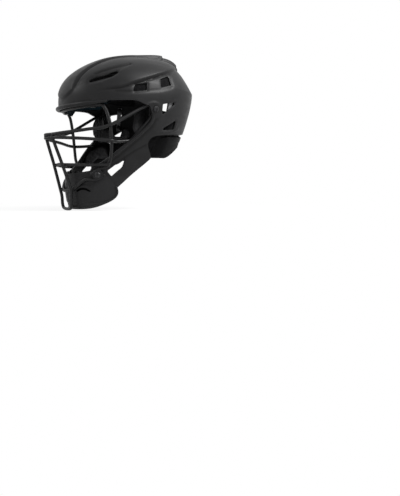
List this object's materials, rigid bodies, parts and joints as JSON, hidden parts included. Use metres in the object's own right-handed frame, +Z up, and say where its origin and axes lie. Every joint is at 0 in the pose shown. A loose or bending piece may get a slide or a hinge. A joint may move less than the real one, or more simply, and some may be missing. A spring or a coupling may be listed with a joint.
{
  "type": "catcher's mask",
  "caption": "Hockey-style catcher's mask: vented one-piece shell with jaw arms, chin guard, bent-wire face cage, foam liner and a rear plate that slides to fit the head.",
  "frame": {"origin": "on the middle plane of the mask, at the height of the brim, near the middle of the head", "axes": "+Z up through the crown, -Y the way the wearer faces, +X towards the wearer's left"},
  "size_m": [0.2138, 0.2878, 0.287],
  "materials": {
    "shell": "matte moulded charcoal black",
    "chin_guard": "matte moulded charcoal black",
    "rear_plate": "matte moulded black",
    "cage_wire": "powder-coated black steel wire",
    "clip": "satin black nylon",
    "hardware": "blackened steel",
    "rivet": "black nylon",
    "brow_pad": "dark teal-black cloth over foam",
    "liner": "black cloth over foam",
    "webbing": "grey woven webbing"
  },
  "bodies": {
    "mask": {"front_shell": "shell", "chin_guard": "chin_guard", "brow_wire": "cage_wire", "upper_eye_bar": "cage_wire", "lower_eye_bar": "cage_wire", "mouth_bar": "cage_wire", "chin_bar": "cage_wire", "centre_loop": "cage_wire", "temple_clip_left": "clip", "temple_clip_right": "clip", "jaw_clip_left": "clip", "jaw_clip_right": "clip", "brow_clips": "clip", "clip_screws": "hardware", "clip_nuts": "hardware", "chin_rivets": "rivet", "slide_screws": "hardware", "slide_nuts": "hardware", "brow_pad": "brow_pad", "crown_pad": "liner", "rear_crown_pad": "liner", "side_pad_left": "liner", "side_pad_right": "liner", "jaw_pad_left": "liner", "jaw_pad_right": "liner", "chin_pad": "liner", "ear_strap_left": "webbing", "ear_strap_right": "webbing", "strap_rivets": "rivet"},
    "plate": {"rear_plate": "rear_plate", "nape_pad": "liner"}
  },
  "joints": [
    {"name": "rear_plate_slide", "type": "slide", "parent": "mask", "child": "plate", "axis": [0, -0.4067, -0.9135], "range_m": [0, 0.012]}
  ]
}
